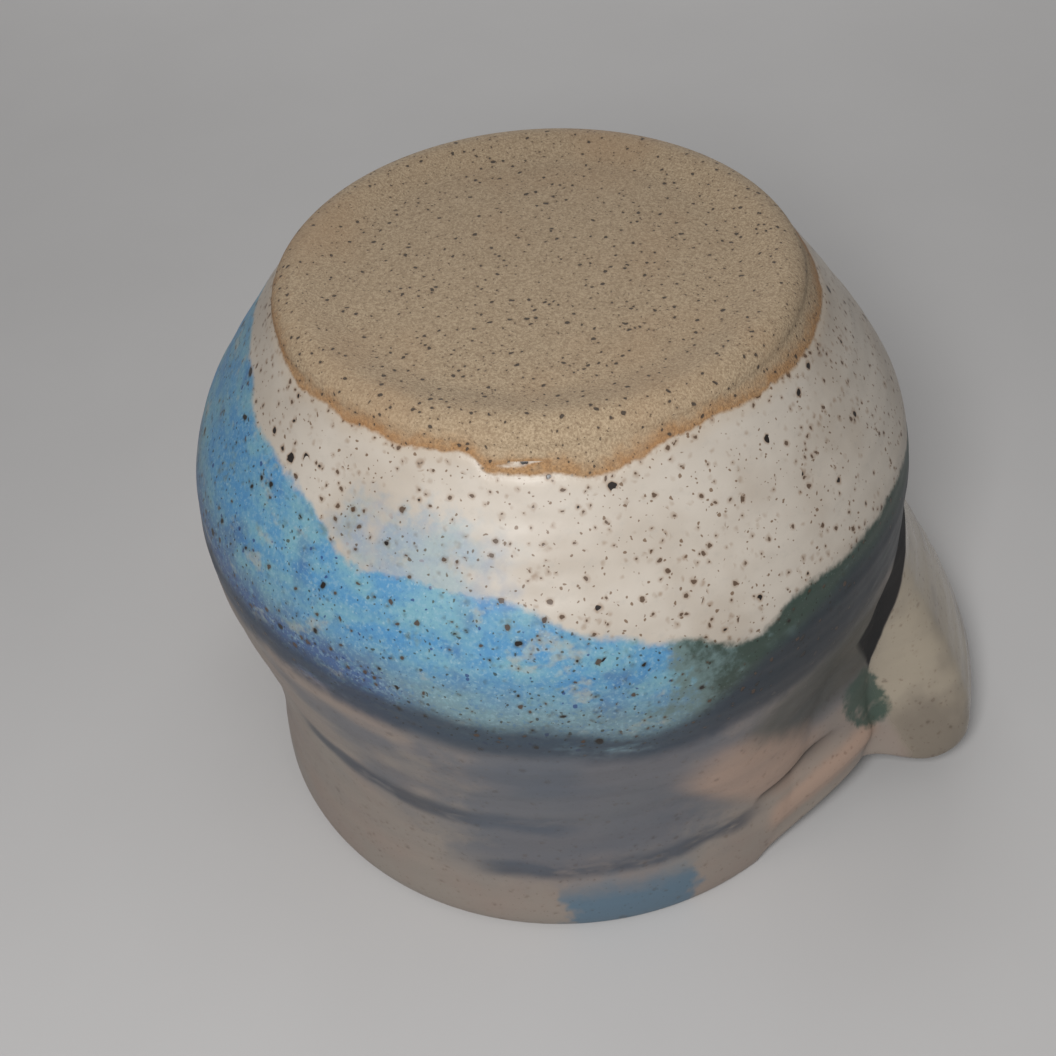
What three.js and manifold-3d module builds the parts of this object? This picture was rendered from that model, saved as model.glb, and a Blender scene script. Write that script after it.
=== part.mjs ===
// A small hand-thrown stoneware pitcher: a thrown body with a wide pulled spout, and a pulled strap
// handle that is luted to the neck and to the upper slope of the belly with pressed pads of clay.
// Millimetres, +Z up. The pitcher is drawn upright, with its foot at z = 0 and its handle along +X,
// and is turned over at the end to stand on its rim.
import * as THREE from 'three';
import { mergeVertices } from 'three/addons/utils/BufferGeometryUtils.js';
import Module from 'manifold-3d';

const wasm = await Module();
wasm.setup();

// Thrown body
const HEIGHT = 110;
const FOOT_RADIUS = 44;
const FOOT_ROUND = 3.2;          // rounding between the standing ring and the wall
const RING_WIDTH = 10;           // flat ring that the pitcher stands on
const DISH_DEPTH = 1.8;          // hollow of the base inside the ring
const DISH_SLOPE = 7;            // width of the slope from the ring into the hollow
const WALL_LEAN = 34;            // degrees from upright at which the wall leaves the foot
const LOWER_FULLNESS = 27;       // how far the wall keeps that lean before it turns up
const BELLY_RADIUS = 63.8;
const BELLY_HEIGHT = 43;
const BELLY_FULLNESS = 15;       // how far the belly stays upright below and above its widest ring
const NECK_RADIUS = 58.2;
const NECK_HEIGHT = 88;
const NECK_FULLNESS = 22;        // how far the neck stays upright below its narrowest ring
const RIM_RADIUS = 59.4;
const RIM_THICKNESS = 5;
const RIM_ROUND = 2.1;           // rounding of both edges of the rim
const WALL = 6;
const FLOOR = 8;
const FLOOR_ROUND = 12;          // inside rounding between wall and floor

// Pulled spout: a channel with a hanging lip, between two shoulders of the rim
const SPOUT_AZIMUTH = 152;       // degrees from the handle
const SPOUT_SPREAD = 50;         // degrees to each side at which the rim is round again
const SHOULDER_SPREAD = 36;      // degrees to each side at which the channel's flanks start
const LIP_SPREAD = 16;           // degrees to each side over which the lip is at its full reach
const SPOUT_REACH = 23.6;        // how far the lip is drawn out past the rim
const SHOULDER_REACH = 6;        // how far the rim swells out beside the channel
const LIP_DROP = 13;             // how far the middle of the lip hangs below the rim
const CORNER_DROP = 9.5;         // the same at the ends of the lip
const SHOULDER_DROP = 11.5;      // the same at the shoulders
const LIP_SAG_SPREAD = 19;       // degrees to each side over which the lip sags from its ends to its middle
const LIP_CURL = 40;             // how far below the rim the wall is drawn down with the lip
const SPOUT_DEPTH = 65;          // how far below the rim the throat starts
const SPOUT_TAPER = 0.7;         // how much narrower the throat is at its start
const SPOUT_PINCH = 0.26;        // how far the flanks are pressed towards each other
const CHANNEL_NARROWING = 0.08;  // how much narrower the channel is inside than outside

// Pulled strap handle
const STRAP_WIDTH = 24;
const STRAP_THICKNESS = 9.5;
const STRAP_FLARE = 1.4;         // width at the upper root, as a multiple of the strap's width
const THUMB_GROOVE = 1;          // depth of the groove along the outer face
const HANDLE_REACH = 22;         // from the neck's wall out to the strap's middle
const HANDLE_CREST_RISE = 7;     // how far the strap rises from its upper root to its crest
const HANDLE_LEAN = 2;           // sideways shift of the upper root
const HANDLE_TWIST = 6;          // degrees that the strap is turned at its outermost stretch
const ROOT_SINK = 9;             // how far the strap's ends run into the wall before they are trimmed

// Pressed pads
const NECK_PAD_HEIGHT = 83;
const NECK_PAD_AZIMUTH = 2;      // degrees from +X towards +Y
const NECK_PAD_HALF_WIDTH = 20;
const NECK_PAD_HALF_HEIGHT = 13;
const NECK_PAD_RISE = 3;
const BELLY_PAD_AZIMUTH = -1;
const BELLY_PAD_HALF_WIDTH = 16;
const BELLY_PAD_HALF_HEIGHT = 10;
const BELLY_PAD_RISE = 2.6;
const PAD_SPACING = 10;          // bare wall between the two pads
const ROOT_ABOVE_PAD = 2.5;      // how far above a pad's middle the strap enters it
const PAD_EDGE = 0.8;            // thickness of a pad at its pressed edge

const JOINT_CLEARANCE = 0.3;     // slip layer between pieces

const BELLY_PAD_HEIGHT = NECK_PAD_HEIGHT - NECK_PAD_HALF_HEIGHT - PAD_SPACING - BELLY_PAD_HALF_HEIGHT;
const HANDLE_UPPER_ROOT = NECK_PAD_HEIGHT + ROOT_ABOVE_PAD;
const HANDLE_LOWER_ROOT = BELLY_PAD_HEIGHT + ROOT_ABOVE_PAD;
const HANDLE_CREST = HANDLE_UPPER_ROOT + HANDLE_CREST_RISE;

// Fineness of the facets
const BODY_SIDES = 96;
const CURVE_STEPS = 7;
const ROUND_STEPS = 4;
const STRAP_STATIONS = 30;
const STRAP_SIDES = 18;
const PAD_RINGS = 5;
const PAD_SPOKES = 28;

const radians = THREE.MathUtils.degToRad;
const v2 = (x, y) => new THREE.Vector2(x, y);

// Outline of the wall, from the foot to just under the rim, moved in from the outside by an inset.
function wallCurves() {
  const lean = radians(WALL_LEAN);
  const foot = v2(FOOT_RADIUS, FOOT_ROUND);
  const belly = v2(BELLY_RADIUS, BELLY_HEIGHT);
  const neck = v2(NECK_RADIUS, NECK_HEIGHT);
  const rim = v2(RIM_RADIUS, HEIGHT - RIM_ROUND);
  const lipFlare = (rim.y - neck.y) / 3;
  return [
    new THREE.CubicBezierCurve(
      foot,
      v2(foot.x + Math.sin(lean) * LOWER_FULLNESS, foot.y + Math.cos(lean) * LOWER_FULLNESS),
      v2(belly.x, belly.y - BELLY_FULLNESS),
      belly,
    ),
    new THREE.CubicBezierCurve(
      belly,
      v2(belly.x, belly.y + BELLY_FULLNESS),
      v2(neck.x, neck.y - NECK_FULLNESS),
      neck,
    ),
    new THREE.CubicBezierCurve(neck, v2(neck.x, neck.y + lipFlare), v2(rim.x, rim.y - lipFlare), rim),
  ];
}

function wallPoints() {
  const points = [];
  for (const curve of wallCurves()) {
    points.push(...curve.getPoints(CURVE_STEPS).slice(points.length > 0 ? 1 : 0));
  }
  return points;
}

const WALL_POINTS = wallPoints();

// Radius of the outer wall at a height.
function wallRadius(z) {
  const above = WALL_POINTS.findIndex((p) => p.y >= z);
  if (above === -1) return RIM_RADIUS;
  if (above === 0) return FOOT_RADIUS;
  const a = WALL_POINTS[above - 1];
  const b = WALL_POINTS[above];
  return THREE.MathUtils.mapLinear(z, a.y, b.y, a.x, b.x);
}

// The same wall seen from the inside: each point moved in square to the wall.
function innerWallPoints() {
  const points = WALL_POINTS.map((p, i) => {
    const before = WALL_POINTS[Math.max(i - 1, 0)];
    const after = WALL_POINTS[Math.min(i + 1, WALL_POINTS.length - 1)];
    const along = after.clone().sub(before).normalize();
    const thin = THREE.MathUtils.clamp((p.y - NECK_HEIGHT) / (HEIGHT - NECK_HEIGHT), 0, 1);
    const thickness = THREE.MathUtils.lerp(WALL, RIM_THICKNESS, thin);
    return v2(p.x - along.y * thickness, p.y + along.x * thickness);
  });
  return points.filter((p) => p.y > FLOOR + FLOOR_ROUND);
}

function arcPoints(cx, cy, rx, ry, from, to, steps) {
  return new THREE.EllipseCurve(cx, cy, rx, ry, radians(from), radians(to), to < from).getPoints(steps);
}

// Closed profile of the whole body, from the middle of the base round the rim to the middle of the floor.
function bodyProfile() {
  const ringOuter = FOOT_RADIUS - FOOT_ROUND;
  const ringInner = ringOuter - RING_WIDTH;
  const rimInner = RIM_RADIUS - RIM_THICKNESS;
  const inner = innerWallPoints().reverse();
  const lastInner = inner[inner.length - 1];
  return [
    v2(0, DISH_DEPTH),
    v2(ringInner - DISH_SLOPE, DISH_DEPTH),
    v2(ringInner - DISH_SLOPE / 3, DISH_DEPTH / 4),
    v2(ringInner, 0),
    ...arcPoints(ringOuter, FOOT_ROUND, FOOT_ROUND, FOOT_ROUND, -90, 0, ROUND_STEPS).slice(0, -1),
    ...WALL_POINTS.slice(0, -1),
    ...arcPoints(RIM_RADIUS - RIM_ROUND, HEIGHT - RIM_ROUND, RIM_ROUND, RIM_ROUND, 0, 90, ROUND_STEPS),
    ...arcPoints(rimInner + RIM_ROUND, HEIGHT - RIM_ROUND, RIM_ROUND, RIM_ROUND, 90, 180, ROUND_STEPS),
    ...inner.slice(1),
    ...arcPoints(lastInner.x - FLOOR_ROUND, lastInner.y, FLOOR_ROUND, lastInner.y - FLOOR, 0, -90, ROUND_STEPS).slice(1),
    v2(0, FLOOR),
  ];
}

// Draws the rim out into a spout: the shoulders swell, the channel between them reaches further, its flanks
// are pinched together, and its lip hangs. All of it narrows and fades out down to the belly.
function pullSpout(geometry) {
  const position = geometry.getAttribute('position');
  const { clamp, lerp, smoothstep, radToDeg } = THREE.MathUtils;
  const p = new THREE.Vector3();
  const middle = v2(1, 0).rotateAround(v2(0, 0), radians(SPOUT_AZIMUTH));
  for (let i = 0; i < position.count; i += 1) {
    p.fromBufferAttribute(position, i);
    const below = HEIGHT - p.z;
    const radius = Math.hypot(p.x, p.y);
    const turn = radToDeg(Math.atan2(middle.cross(p), middle.dot(p)));
    const depth = clamp((wallRadius(p.z) - radius) / RIM_THICKNESS, 0, 1);
    const spread = Math.abs(turn) * (1 + SPOUT_TAPER * below / SPOUT_DEPTH) * (1 + CHANNEL_NARROWING * depth);
    if (below < SPOUT_DEPTH && spread < SPOUT_SPREAD) {
      const shoulder = 1 - smoothstep(spread, SHOULDER_SPREAD, SPOUT_SPREAD);
      const channel = 1 - smoothstep(spread, LIP_SPREAD, SHOULDER_SPREAD);
      const curl = clamp(1 - below / LIP_CURL, 0, 1) ** 2;
      const lip = 1 - smoothstep(spread, 0, LIP_SAG_SPREAD);
      const lipDrop = lerp(CORNER_DROP, LIP_DROP, lip);
      const drop = lerp(SHOULDER_DROP * Math.sqrt(shoulder), lipDrop, channel) * curl;
      const pull = 1 - smoothstep(below + drop, LIP_DROP, SPOUT_DEPTH);
      const push = (SHOULDER_REACH * shoulder + (SPOUT_REACH - SHOULDER_REACH) * channel) * pull;
      const pinch = 1 - SPOUT_PINCH * shoulder * (1 - channel / 2) * pull;
      const azimuth = radians(SPOUT_AZIMUTH + turn * pinch);
      position.setXYZ(i, (radius + push) * Math.cos(azimuth), (radius + push) * Math.sin(azimuth), p.z - drop);
    }
  }
}

// A revolved profile with its axis along Z and its seam closed.
function revolve(profile) {
  const geometry = new THREE.LatheGeometry(profile, BODY_SIDES);
  geometry.rotateX(Math.PI / 2);
  return closed(geometry);
}

function closed(geometry) {
  geometry.deleteAttribute('normal');
  geometry.deleteAttribute('uv');
  return mergeVertices(geometry, 1e-4);
}

// Splits each four-sided facet of a revolved skin along its shorter diagonal.
function splitShortest(geometry) {
  const position = geometry.getAttribute('position');
  const index = geometry.index.array;
  const at = (i) => new THREE.Vector3().fromBufferAttribute(position, i);
  for (let i = 0; i < index.length; i += 6) {
    const [a, b, d, c] = index.slice(i, i + 4);
    if (at(a).distanceTo(at(c)) < at(b).distanceTo(at(d))) {
      index.set([a, b, c, a, c, d], i);
    }
  }
}

function bodyGeometry() {
  const geometry = revolve(bodyProfile());
  pullSpout(geometry);
  splitShortest(geometry);
  return geometry;
}

// The body without its hollow, grown by the clearance: what a piece that sits on the wall is trimmed by.
function wallTrimmer() {
  const grown = WALL_POINTS.map((p) => v2(p.x + JOINT_CLEARANCE, p.y));
  return revolve([v2(0, FOOT_ROUND), ...grown, v2(0, HEIGHT - RIM_ROUND)]);
}

// A closed skin over rings of points that all have the same count, with a point at each end.
function skin(rings, firstTip, lastTip) {
  const sides = rings[0].length;
  const points = [firstTip, ...rings.flat(), lastTip];
  const last = points.length - 1;
  const at = (ring, side) => 1 + ring * sides + side % sides;
  const faces = [];
  for (let side = 0; side < sides; side += 1) {
    faces.push(0, at(0, side + 1), at(0, side));
    for (let ring = 0; ring < rings.length - 1; ring += 1) {
      faces.push(at(ring, side), at(ring, side + 1), at(ring + 1, side + 1));
      faces.push(at(ring, side), at(ring + 1, side + 1), at(ring + 1, side));
    }
    faces.push(last, at(rings.length - 1, side), at(rings.length - 1, side + 1));
  }
  const geometry = new THREE.BufferGeometry();
  geometry.setAttribute('position', new THREE.Float32BufferAttribute(points.flatMap((p) => p.toArray()), 3));
  geometry.setIndex(faces);
  return geometry;
}

// A pad of clay pressed onto the wall: domed in the middle, thin at its edge, curved as the wall is.
function padGeometry(pad, grow = 0) {
  const onWall = (share, angle, lift) => {
    const across = share * (pad.halfWidth + grow) * Math.cos(angle);
    const z = pad.height + share * (pad.halfHeight + grow) * Math.sin(angle);
    const azimuth = radians(pad.azimuth) + across / wallRadius(pad.height);
    const radius = wallRadius(z) + lift;
    return new THREE.Vector3(radius * Math.cos(azimuth), radius * Math.sin(azimuth), z);
  };
  const lift = (share) => PAD_EDGE + (pad.rise - PAD_EDGE) * Math.sqrt(1 - share * share) + grow;
  const back = JOINT_CLEARANCE - grow;
  const ringAt = (share, height) => Array.from(
    { length: PAD_SPOKES },
    (_, i) => onWall(share, (i / PAD_SPOKES) * 2 * Math.PI, height),
  );
  const shares = Array.from({ length: PAD_RINGS }, (_, i) => Math.sin(((i + 1) / PAD_RINGS) * Math.PI / 2));
  const rings = [
    ...shares.map((share) => ringAt(share, back)),
    ...shares.toReversed().map((share) => ringAt(share, lift(share))),
  ];
  return skin(rings, onWall(0, 0, back), onWall(0, 0, lift(0)));
}

// Middle line of the strap: out of the neck, over the crest, down and back to the belly's upper slope.
function strapPath() {
  const reach = NECK_RADIUS + HANDLE_REACH;
  const upperWall = wallRadius(HANDLE_UPPER_ROOT);
  const lowerWall = wallRadius(HANDLE_LOWER_ROOT);
  const drop = HANDLE_CREST - HANDLE_LOWER_ROOT;
  return new THREE.CatmullRomCurve3([
    new THREE.Vector3(upperWall - ROOT_SINK, HANDLE_LEAN, HANDLE_UPPER_ROOT - ROOT_SINK / 4),
    new THREE.Vector3(upperWall + HANDLE_REACH / 3, HANDLE_LEAN * 0.95, HANDLE_CREST - 1),
    new THREE.Vector3(reach - STRAP_THICKNESS / 2, HANDLE_LEAN * 0.85, HANDLE_CREST - drop * 0.02),
    new THREE.Vector3(reach, HANDLE_LEAN * 0.5, HANDLE_CREST - drop * 0.24),
    new THREE.Vector3(reach - HANDLE_REACH * 0.13, HANDLE_LEAN * 0.15, HANDLE_CREST - drop * 0.5),
    new THREE.Vector3(lowerWall + HANDLE_REACH * 0.38, -HANDLE_LEAN * 0.22, HANDLE_CREST - drop * 0.77),
    new THREE.Vector3(lowerWall - ROOT_SINK, -HANDLE_LEAN * 0.55, HANDLE_LOWER_ROOT - ROOT_SINK / 2),
  ]);
}

// Section of the strap: a flattened oval, hollowed along its outer face by the thumb.
function strapSection(width, thickness) {
  const squareness = 0.7;
  return Array.from({ length: STRAP_SIDES }, (_, i) => {
    const angle = (i / STRAP_SIDES) * 2 * Math.PI;
    const across = Math.sign(Math.cos(angle)) * Math.abs(Math.cos(angle)) ** squareness;
    const through = Math.sign(Math.sin(angle)) * Math.abs(Math.sin(angle)) ** squareness;
    const groove = through > 0 ? THUMB_GROOVE * (1 - across * across) ** 2 : 0;
    return v2(across * width / 2, through * thickness / 2 - groove);
  });
}

function strapGeometry() {
  const path = strapPath();
  const rings = [];
  for (let station = 0; station <= STRAP_STATIONS; station += 1) {
    const t = station / STRAP_STATIONS;
    const centre = path.getPoint(t);
    const along = path.getTangent(t);
    const sideways = new THREE.Vector3(0, 1, 0).addScaledVector(along, -along.y).normalize();
    const outward = along.clone().cross(sideways).normalize();
    const flare = 1 + (STRAP_FLARE - 1) * Math.max(0, 1 - t * 4) ** 2;
    const twist = -radians(HANDLE_TWIST) * Math.sin(Math.PI * t) ** 2;
    sideways.applyAxisAngle(along, twist);
    outward.applyAxisAngle(along, twist);
    rings.push(strapSection(STRAP_WIDTH * flare, STRAP_THICKNESS).map(
      (p) => centre.clone().addScaledVector(sideways, p.x).addScaledVector(outward, p.y),
    ));
  }
  return skin(rings, path.getPoint(0), path.getPoint(1));
}

// Geometry to solid and back, for trimming one piece by another.
function toSolid(geometry) {
  const index = Array.from(geometry.index.array);
  const faces = [];
  for (let i = 0; i < index.length; i += 3) {
    const [a, b, c] = index.slice(i, i + 3);
    if (a !== b && b !== c && c !== a) faces.push(a, b, c);
  }
  return new wasm.Manifold(new wasm.Mesh({
    numProp: 3,
    vertProperties: new Float32Array(geometry.getAttribute('position').array),
    triVerts: new Uint32Array(faces),
  }));
}

function toGeometry(solid) {
  const mesh = solid.getMesh();
  const geometry = new THREE.BufferGeometry();
  geometry.setAttribute('position', new THREE.BufferAttribute(mesh.vertProperties, 3));
  geometry.setIndex(new THREE.BufferAttribute(mesh.triVerts, 1));
  return geometry;
}

const neckPad = {
  height: NECK_PAD_HEIGHT,
  azimuth: NECK_PAD_AZIMUTH,
  halfWidth: NECK_PAD_HALF_WIDTH,
  halfHeight: NECK_PAD_HALF_HEIGHT,
  rise: NECK_PAD_RISE,
};
const bellyPad = {
  height: BELLY_PAD_HEIGHT,
  azimuth: BELLY_PAD_AZIMUTH,
  halfWidth: BELLY_PAD_HALF_WIDTH,
  halfHeight: BELLY_PAD_HALF_HEIGHT,
  rise: BELLY_PAD_RISE,
};

function trimmedStrap() {
  const strap = toSolid(strapGeometry())
    .subtract(toSolid(wallTrimmer()))
    .subtract(toSolid(padGeometry(neckPad, JOINT_CLEARANCE)))
    .subtract(toSolid(padGeometry(bellyPad, JOINT_CLEARANCE)));
  return toGeometry(strap);
}

const whiteGlaze = new THREE.MeshStandardMaterial({ color: 0xd9d2c8, roughness: 0.3, metalness: 0 });
const creamGlaze = new THREE.MeshStandardMaterial({ color: 0xb7ab98, roughness: 0.25, metalness: 0 });

function piece(name, geometry, material) {
  const mesh = new THREE.Mesh(geometry, material);
  mesh.name = name;
  return mesh;
}

const pitcher = new THREE.Group();
pitcher.add(piece('thrown_body', bodyGeometry(), whiteGlaze));
pitcher.add(piece('neck_joint_pad', padGeometry(neckPad), creamGlaze));
pitcher.add(piece('belly_joint_pad', padGeometry(bellyPad), creamGlaze));
pitcher.add(piece('handle_strap', trimmedStrap(), creamGlaze));

// Turned over to stand on its rim, with the origin under the middle of its outline.
pitcher.rotation.x = Math.PI;
pitcher.position.z = HEIGHT;
pitcher.updateMatrixWorld(true);
const outline = new THREE.Box3().setFromObject(pitcher, true);
const middle = outline.getCenter(new THREE.Vector3());
pitcher.position.x = -middle.x;
pitcher.position.y = -middle.y;

export default pitcher;
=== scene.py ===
"""A small stoneware pitcher, standing upside down on its rim, in the frame of its CAD model."""

import math
import random

import bpy
import numpy as np
from mathutils import Matrix, Vector


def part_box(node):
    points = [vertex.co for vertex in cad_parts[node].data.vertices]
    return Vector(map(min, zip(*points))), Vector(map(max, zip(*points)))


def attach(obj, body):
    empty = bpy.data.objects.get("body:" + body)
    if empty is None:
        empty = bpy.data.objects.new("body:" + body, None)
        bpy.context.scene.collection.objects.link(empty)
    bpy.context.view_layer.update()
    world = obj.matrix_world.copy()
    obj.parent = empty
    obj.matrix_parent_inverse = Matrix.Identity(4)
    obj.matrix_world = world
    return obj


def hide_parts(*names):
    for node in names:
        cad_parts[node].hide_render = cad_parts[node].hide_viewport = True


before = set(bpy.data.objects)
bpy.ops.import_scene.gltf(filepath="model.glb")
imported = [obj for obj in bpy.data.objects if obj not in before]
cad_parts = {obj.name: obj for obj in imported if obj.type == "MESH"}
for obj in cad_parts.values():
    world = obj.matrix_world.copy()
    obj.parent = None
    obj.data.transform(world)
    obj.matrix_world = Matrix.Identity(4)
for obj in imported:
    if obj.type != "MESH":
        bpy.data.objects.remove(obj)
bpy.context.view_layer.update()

# Sizes in millimetres, as in the CAD model. Heights called "up" count from the foot of the upright pitcher.
MM = 0.001
HEIGHT = 110.0
FOOT_RADIUS = 44.0
FOOT_ROUND = 3.2
FOOT_EASE = 5.0                  # width of the foot's worn edge, as high as FOOT_ROUND
DISH_DEPTH = 1.8
DISH_SLOPE = 9.0
WALL_LEAN = math.radians(34)
LOWER_FULLNESS = 27.0
BELLY_RADIUS = 63.8
BELLY_UP = 43.0
BELLY_FULLNESS = 15.0
NECK_RADIUS = 58.2
NECK_UP = 88.0
NECK_FULLNESS = 22.0
RIM_RADIUS = 59.4
RIM_THICKNESS = 5.0
RIM_ROUND = 2.1
WALL = 6.0
FLOOR_UP = 8.0
FLOOR_TURN = 12.0                # radius of the turn from the wall to the floor, inside
SPOUT_AZIMUTH = 208.0            # degrees from +X towards +Y
SPOUT_SPREAD = 50.0
SHOULDER_SPREAD = 36.0
LIP_SPREAD = 16.0
SPOUT_REACH = 23.6
SHOULDER_REACH = 6.0
LIP_DROP = 13.0
CORNER_DROP = 9.5
SHOULDER_DROP = 11.5
LIP_SAG_SPREAD = 19.0
LIP_CURL = 40.0
SPOUT_DEPTH = 65.0
SPOUT_TAPER = 0.7
SPOUT_PINCH = 0.26
CHANNEL_NARROWING = 0.08

# Marks of the hand: along the wall from the spout's middle, or degrees where it says so, and height above the floor
CORNER_SAG = 2.4                 # how far the lip's two corners hang below its edge
CORNER_ASIDE = 23.0              # degrees from the spout's middle
CORNER_HALF = 4.5                # degrees
CORNER_HEIGHT = 16.0
LOBE_AT = (-52.0, 34.0)
LOBE_SLANT = (0.744, 0.668)      # cosine and sine
LOBE_HALF = (19.0, 8.5)
LOBE_RISE = 2.0
CREASE_SPAN = (-52.0, -47.0, -38.0, -34.0)
CREASE_AT = (-43.0, 22.0)
CREASE_SLOPE = 0.05
CREASE_WIDTH = 1.8
CREASE_DEPTH = 2.1
ROLL_SPAN = (-52.0, -44.0, -34.0, -26.0)
ROLL_HIGH = 13.5
ROLL_WIDTH = 5.5
ROLL_RISE = 1.4
RING_PITCHES = (8.2, 3.1)        # throwing rings, coarse and fine
RING_HEIGHTS = (0.07, 0.025)
DENT_DEPTH = 0.25                # soft finger dents in the neck
FOOT_WEAR = 0.12

STRAP_WIDTH = 24.0
STRAP_THICKNESS = 9.5
STRAP_FLARE = 1.4
THUMB_GROOVE = 1.0
HANDLE_REACH = 22.0
HANDLE_CREST_RISE = 7.0
HANDLE_LEAN = 2.0
HANDLE_TWIST = math.radians(6)
ROOT_SINK = 9.0
NECK_PAD_UP = 83.0
NECK_PAD_AZIMUTH = math.radians(2)
NECK_PAD_HALF = (20.0, 13.0)
NECK_PAD_RISE = 3.0
BELLY_PAD_UP = 50.0
BELLY_PAD_AZIMUTH = math.radians(-1)
BELLY_PAD_HALF = (16.0, 10.0)
BELLY_PAD_RISE = 2.6
ROOT_ABOVE_PAD = 2.5
PAD_SINK = 0.6                   # how far a pad's edge lies in the wall
PAD_BACK = 1.5                   # and its back

AXIS_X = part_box("thrown_body")[1].x / MM - BELLY_RADIUS
GLAZE = 0.2                      # thickness of the glaze coat
PHOTO_TURN = -125.0              # degrees from the photo's viewing direction to the handle
GLAZE_IOR = 1.5
SHAKE = (0.0009, 0.0009, 0.0009)  # metres by which the outline of a speck is shaken
SHAKE_SCALE = 900.0
FLOOR_HALF = 3.0                 # metres
FLOOR_FADE = (0.6, 1.8)          # metres from the pitcher over which the floor fades into the studio's own tone
WORLD_LIGHT = 0.27


def smoothstep(low, high, x):
    t = np.clip((x - low) / (high - low), 0, 1)
    return t * t * (3 - 2 * t)


def between(span, x):
    """1 between the middle two of four values, 0 outside the outer two."""
    return smoothstep(span[0], span[1], x) * (1 - smoothstep(span[2], span[3], x))


def wobble(angle, seed, lowest, highest, falloff=0.7):
    """A smooth random wave round the pot, about -1 to 1, that closes on itself."""
    rng = random.Random(seed)
    total = 0
    for k in range(lowest, highest + 1):
        total = total + (lowest / k) ** falloff * np.sin(k * angle + rng.uniform(0, 2 * math.pi))
    return total / math.sqrt(highest - lowest + 1)


def round_the_pot(points):
    """A closed smooth curve through (degrees, value) points, as a function of an angle in degrees."""
    points = sorted(points)
    xs = np.array([p[0] for p in points], float)
    ys = np.array([p[1] for p in points], float)
    xs = np.concatenate([xs - 360, xs, xs + 360])
    ys = np.concatenate([ys, ys, ys])

    def curve(degrees):
        d = (np.asarray(degrees, float) + 180) % 360 - 180
        i = np.clip(np.searchsorted(xs, d) - 1, 1, len(xs) - 3)
        t = (d - xs[i]) / (xs[i + 1] - xs[i])
        slope = (ys[2:] - ys[:-2]) / (xs[2:] - xs[:-2])
        m0 = slope[i - 1] * (xs[i + 1] - xs[i])
        m1 = slope[i] * (xs[i + 1] - xs[i])
        t2, t3 = t * t, t * t * t
        return (2 * t3 - 3 * t2 + 1) * ys[i] + (t3 - 2 * t2 + t) * m0 + (3 * t2 - 2 * t3) * ys[i + 1] + (t3 - t2) * m1

    return curve


def bezier(a, b, c, d, count):
    t = np.linspace(0, 1, count)[:, None]
    a, b, c, d = (np.array(p, float) for p in (a, b, c, d))
    return (1 - t) ** 3 * a + 3 * t * (1 - t) ** 2 * b + 3 * t * t * (1 - t) * c + t ** 3 * d


def arc(cx, cy, radius, start, end, count):
    a = np.radians(np.linspace(start, end, count))
    return np.stack([cx + radius * np.cos(a), cy + radius * np.sin(a)], 1)


# Outline of the thrown wall: (radius, height above the foot)
foot = np.array([FOOT_RADIUS, FOOT_ROUND])
belly = np.array([BELLY_RADIUS, BELLY_UP])
neck = np.array([NECK_RADIUS, NECK_UP])
rim = np.array([RIM_RADIUS, HEIGHT - RIM_ROUND])
lip_flare = np.array([0, (rim[1] - neck[1]) / 3])
lean = np.array([math.sin(WALL_LEAN), math.cos(WALL_LEAN)])
WALL_LINE = np.concatenate([
    bezier(foot, foot + lean * LOWER_FULLNESS, belly - (0, BELLY_FULLNESS), belly, 121)[:-1],
    bezier(belly, belly + (0, BELLY_FULLNESS), neck - (0, NECK_FULLNESS), neck, 61)[:-1],
    bezier(neck, neck + lip_flare, rim - lip_flare, rim, 25),
])


def wall_radius(up):
    return np.interp(up, WALL_LINE[:, 1], WALL_LINE[:, 0])


def inner_line():
    along = np.gradient(WALL_LINE, axis=0)
    along /= np.linalg.norm(along, axis=1)[:, None]
    thin = np.clip((WALL_LINE[:, 1] - NECK_UP) / (HEIGHT - NECK_UP), 0, 1)
    thickness = WALL + (RIM_THICKNESS - WALL) * thin
    inside = WALL_LINE + np.stack([-along[:, 1], along[:, 0]], 1) * thickness[:, None]
    inside = inside[inside[:, 1] > FLOOR_UP + FLOOR_TURN][::-1]
    last = inside[-1]
    a = np.radians(np.linspace(0, -90, 14))
    turn_height = last[1] - FLOOR_UP
    turn = np.stack([last[0] - FLOOR_TURN + FLOOR_TURN * np.cos(a), last[1] + turn_height * np.sin(a)], 1)
    floor = np.stack([np.linspace(turn[-1, 0], 0.4, 16), np.full(16, FLOOR_UP)], 1)
    return np.concatenate([inside[1::2], turn[1:], floor[1:]])


# Edges of the glazes round the pot: degrees from the photo's viewing direction, height above the rim
CLAY_EDGE = round_the_pot([
    (-180, 105.2), (-150, 104.2), (-115, 105.8), (-80, 107), (-70, 106.4), (-59, 105.6), (-45, 105.7), (-32, 105.5),
    (-22, 105.5), (-16, 105.5), (-13.4, 103.9), (-5, 103.6), (0, 103.4), (11, 102.9), (19, 104.4), (26, 104.8),
    (33, 105.2), (43, 104.1), (58, 103.6), (78, 103), (110, 104.6), (145, 103.2),
])
BLUE_EDGE = round_the_pot([
    (-180, 93), (-140, 97), (-110, 100.5), (-80, 100), (-61, 96.4), (-45, 92.8), (-35, 90.2), (-24, 89.9), (-13, 88.9),
    (-2, 85.3), (9, 81.5), (17, 79.4), (24, 76.6), (29, 77.2), (35, 79.9), (43, 79.1), (60, 78.6), (85, 77), (110, 83),
    (145, 92),
])
DARK_LINE = round_the_pot([
    (-180, 66), (-120, 68), (-80, 69), (-45, 67), (-22, 64.5), (-4, 62), (10, 58.5), (20, 60.5), (30, 64), (42, 66),
    (56, 66), (80, 64), (110, 64.5), (145, 63),
])
GREEN_SPAN = (6.0, 30.0, 100.0, 124.0)
TONGUE_AT = (-6.5, 105.2)        # a drip of glaze that runs onto the clay
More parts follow.
